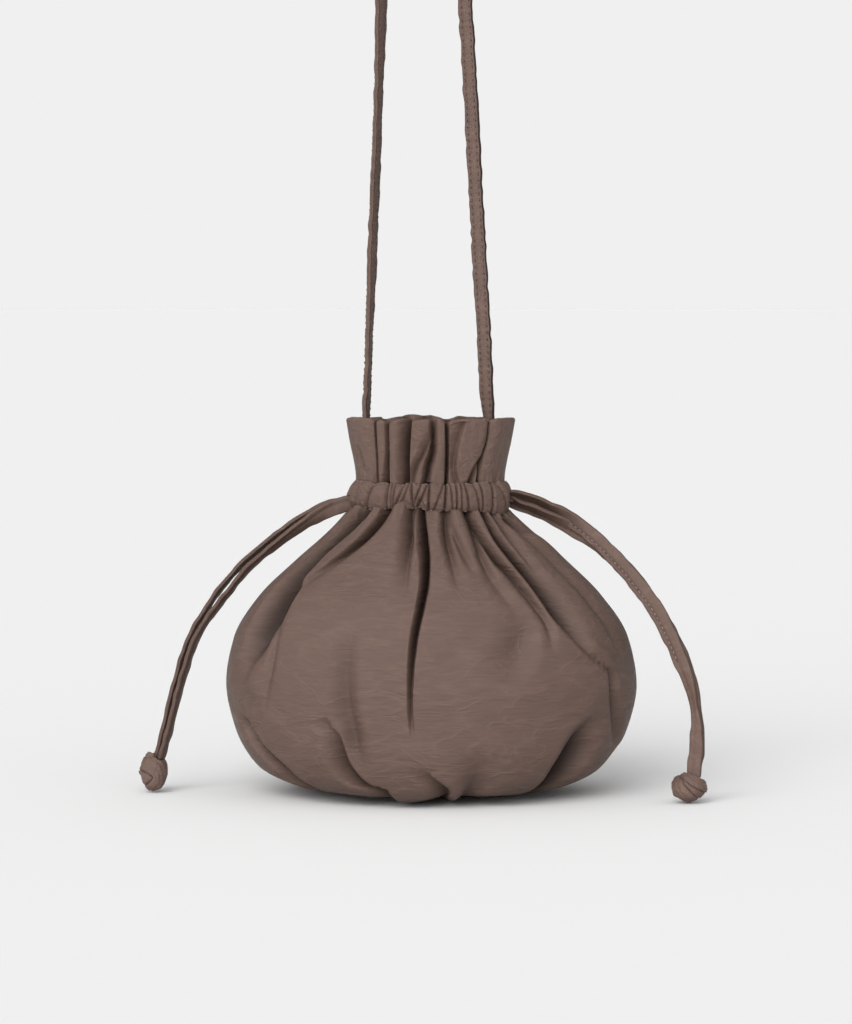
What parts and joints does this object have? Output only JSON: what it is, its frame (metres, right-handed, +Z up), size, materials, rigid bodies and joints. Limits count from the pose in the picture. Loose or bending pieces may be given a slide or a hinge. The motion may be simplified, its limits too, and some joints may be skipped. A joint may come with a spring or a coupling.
{
  "type": "drawstring pouch",
  "caption": "Gathered drawstring pouch in taupe cloth with a ruffled collar, knotted drawstring ends and a long shoulder strap.",
  "frame": {"origin": "underside of the strap where it lies over a hook, straight above the bag", "axes": "+Z up along the hanging strap, +X to the right seen from the front, front faces -Y"},
  "size_m": [0.2812, 0.1336, 0.697],
  "materials": {
    "cloth": "satin",
    "tape": "satin"
  },
  "bodies": {
    "root": {"bag_body": "cloth", "casing": "cloth", "frill": "cloth", "drawstring_left": "tape", "drawstring_right": "tape", "knot_left": "tape", "knot_right": "tape", "strap": "tape"}
  },
  "joints": []
}
